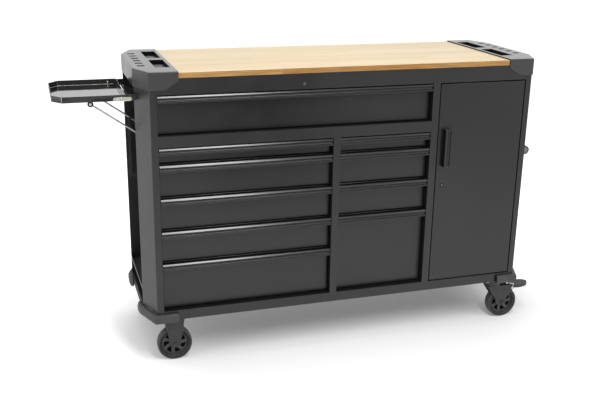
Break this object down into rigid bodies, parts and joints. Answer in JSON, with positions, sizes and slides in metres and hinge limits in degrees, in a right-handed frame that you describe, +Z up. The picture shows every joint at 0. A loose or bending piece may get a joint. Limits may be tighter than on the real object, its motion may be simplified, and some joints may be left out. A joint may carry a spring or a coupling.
{
  "type": "tool cart",
  "caption": "Rolling steel tool cart with drawers and a cupboard, a wooden worktop, moulded end caps, a fold-down side tray and a push bar.",
  "frame": {"origin": "on the floor, under the middle of the outer sizes in plan", "axes": "+X along the front from the side tray to the push bar, +Y from the front to the back, +Z up"},
  "size_m": [1.8, 0.545, 1.0478],
  "materials": {
    "powder_black": "semi-gloss black powder coat",
    "inner_black": "satin black powder coat",
    "grip_black": "gloss black anodised section",
    "cap_moulding": "fine-textured moulded ABS",
    "bumper_moulding": "moulded polypropylene",
    "worktop_wood": "oiled solid rubberwood",
    "zinc": "zinc-plated steel",
    "steel_bright": "bright steel",
    "caster_coat": "black cathodic coat",
    "wheel_black": "moulded polyurethane tread on a nylon wheel"
  },
  "bodies": {
    "cabinet": {"base_frame": "powder_black", "front_frame": "powder_black", "back_panel": "powder_black", "left_wall": "inner_black", "right_wall": "inner_black", "column_divider": "inner_black", "door_divider": "inner_black", "roof_panel": "inner_black", "door_shelf": "inner_black", "worktop": "worktop_wood", "cap_left": "cap_moulding", "cap_right": "cap_moulding", "bumper_front_left": "bumper_moulding", "bumper_front_right": "bumper_moulding", "bumper_rear_left": "bumper_moulding", "bumper_rear_right": "bumper_moulding", "tray_bracket": "inner_black", "stay_guide": "inner_black", "push_bar": "grip_black", "push_bracket_front": "caster_coat", "push_bracket_rear": "caster_coat", "caster_fork_front_left": "caster_coat", "caster_fork_rear_left": "caster_coat"},
    "drawer_top": {"drawer_top": "powder_black", "drawer_top_handle": "grip_black"},
    "drawer_left_1": {"drawer_left_1": "powder_black", "drawer_left_1_handle": "grip_black"},
    "drawer_left_2": {"drawer_left_2": "powder_black", "drawer_left_2_handle": "grip_black"},
    "drawer_left_3": {"drawer_left_3": "powder_black", "drawer_left_3_handle": "grip_black"},
    "drawer_left_4": {"drawer_left_4": "powder_black", "drawer_left_4_handle": "grip_black"},
    "drawer_left_5": {"drawer_left_5": "powder_black", "drawer_left_5_handle": "grip_black"},
    "drawer_right_1": {"drawer_right_1": "powder_black", "drawer_right_1_handle": "grip_black"},
    "drawer_right_2": {"drawer_right_2": "powder_black", "drawer_right_2_handle": "grip_black"},
    "drawer_right_3": {"drawer_right_3": "powder_black", "drawer_right_3_handle": "grip_black"},
    "drawer_right_4": {"drawer_right_4": "powder_black", "drawer_right_4_handle": "grip_black"},
    "door": {"door": "powder_black", "door_handle": "grip_black"},
    "door_lock": {"door_lock": "steel_bright"},
    "drawer_lock": {"drawer_lock": "steel_bright"},
    "wheel_front_left": {"caster_wheel_front_left": "wheel_black"},
    "caster_front_right": {"caster_fork_front_right": "caster_coat"},
    "wheel_front_right": {"caster_wheel_front_right": "wheel_black"},
    "pedal_front_right": {"brake_pedal_front_right": "caster_coat"},
    "wheel_rear_left": {"caster_wheel_rear_left": "wheel_black"},
    "caster_rear_right": {"caster_fork_rear_right": "caster_coat"},
    "wheel_rear_right": {"caster_wheel_rear_right": "wheel_black"},
    "pedal_rear_right": {"brake_pedal_rear_right": "caster_coat"},
    "tray": {"side_tray": "inner_black", "tray_arm_front": "zinc", "tray_arm_rear": "zinc"},
    "stay": {"tray_stay": "steel_bright"}
  },
  "joints": [
    {"name": "drawer_top_slide", "type": "slide", "parent": "cabinet", "child": "drawer_top", "axis": [0, -1, 0], "range_m": [0, 0.38]},
    {"name": "drawer_left_1_slide", "type": "slide", "parent": "cabinet", "child": "drawer_left_1", "axis": [0, -1, 0], "range_m": [0, 0.38]},
    {"name": "drawer_left_2_slide", "type": "slide", "parent": "cabinet", "child": "drawer_left_2", "axis": [0, -1, 0], "range_m": [0, 0.38]},
    {"name": "drawer_left_3_slide", "type": "slide", "parent": "cabinet", "child": "drawer_left_3", "axis": [0, -1, 0], "range_m": [0, 0.38]},
    {"name": "drawer_left_4_slide", "type": "slide", "parent": "cabinet", "child": "drawer_left_4", "axis": [0, -1, 0], "range_m": [0, 0.38]},
    {"name": "drawer_left_5_slide", "type": "slide", "parent": "cabinet", "child": "drawer_left_5", "axis": [0, -1, 0], "range_m": [0, 0.38]},
    {"name": "drawer_right_1_slide", "type": "slide", "parent": "cabinet", "child": "drawer_right_1", "axis": [0, -1, 0], "range_m": [0, 0.38]},
    {"name": "drawer_right_2_slide", "type": "slide", "parent": "cabinet", "child": "drawer_right_2", "axis": [0, -1, 0], "range_m": [0, 0.38]},
    {"name": "drawer_right_3_slide", "type": "slide", "parent": "cabinet", "child": "drawer_right_3", "axis": [0, -1, 0], "range_m": [0, 0.38]},
    {"name": "drawer_right_4_slide", "type": "slide", "parent": "cabinet", "child": "drawer_right_4", "axis": [0, -1, 0], "range_m": [0, 0.38]},
    {"name": "door_hinge", "type": "hinge", "parent": "cabinet", "child": "door", "pos_m": [0.7712, -0.2435, 0.6], "axis": [0, 0, 1], "range_deg": [0, 105]},
    {"name": "door_lock_turn", "type": "hinge", "parent": "door", "child": "door_lock", "pos_m": [0.464, -0.2475, 0.5895], "axis": [0, 1, 0], "range_deg": [0, 90]},
    {"name": "drawer_lock_turn", "type": "hinge", "parent": "cabinet", "child": "drawer_lock", "pos_m": [-0.076, -0.2475, 0.9905], "axis": [0, 1, 0], "range_deg": [0, 90]},
    {"name": "wheel_front_left_spin", "type": "hinge", "parent": "cabinet", "child": "wheel_front_left", "pos_m": [-0.536, -0.1975, 0.06211], "axis": [0, 1, 0], "continuous": true},
    {"name": "caster_front_right_swivel", "type": "hinge", "parent": "cabinet", "child": "caster_front_right", "pos_m": [0.746, -0.1975, 0.15], "axis": [0, 0, 1], "continuous": true},
    {"name": "wheel_front_right_spin", "type": "hinge", "parent": "caster_front_right", "child": "wheel_front_right", "pos_m": [0.788, -0.1975, 0.06211], "axis": [0, 1, 0], "continuous": true},
    {"name": "pedal_front_right_press", "type": "hinge", "parent": "caster_front_right", "child": "pedal_front_right", "pos_m": [0.824, -0.1975, 0.12211], "axis": [0, 1, 0], "range_deg": [0, 14]},
    {"name": "wheel_rear_left_spin", "type": "hinge", "parent": "cabinet", "child": "wheel_rear_left", "pos_m": [-0.536, 0.2075, 0.06211], "axis": [0, 1, 0], "continuous": true},
    {"name": "caster_rear_right_swivel", "type": "hinge", "parent": "cabinet", "child": "caster_rear_right", "pos_m": [0.746, 0.2075, 0.15], "axis": [0, 0, 1], "continuous": true},
    {"name": "wheel_rear_right_spin", "type": "hinge", "parent": "caster_rear_right", "child": "wheel_rear_right", "pos_m": [0.788, 0.2075, 0.06211], "axis": [0, 1, 0], "continuous": true},
    {"name": "pedal_rear_right_press", "type": "hinge", "parent": "caster_rear_right", "child": "pedal_rear_right", "pos_m": [0.824, 0.2075, 0.12211], "axis": [0, 1, 0], "range_deg": [0, 14]},
    {"name": "tray_fold", "type": "hinge", "parent": "cabinet", "child": "tray", "pos_m": [-0.651, -0.01, 0.9485], "axis": [0, -1, 0], "range_deg": [0, 90]},
    {"name": "stay_fold", "type": "hinge", "parent": "tray", "child": "stay", "pos_m": [-0.778, -0.01, 0.9325], "axis": [0, 1, 0], "range_deg": [0, 137]}
  ],
  "couplings": [
    {"joint": "stay_fold", "follows": "tray_fold", "ratio": 1.5194}
  ]
}
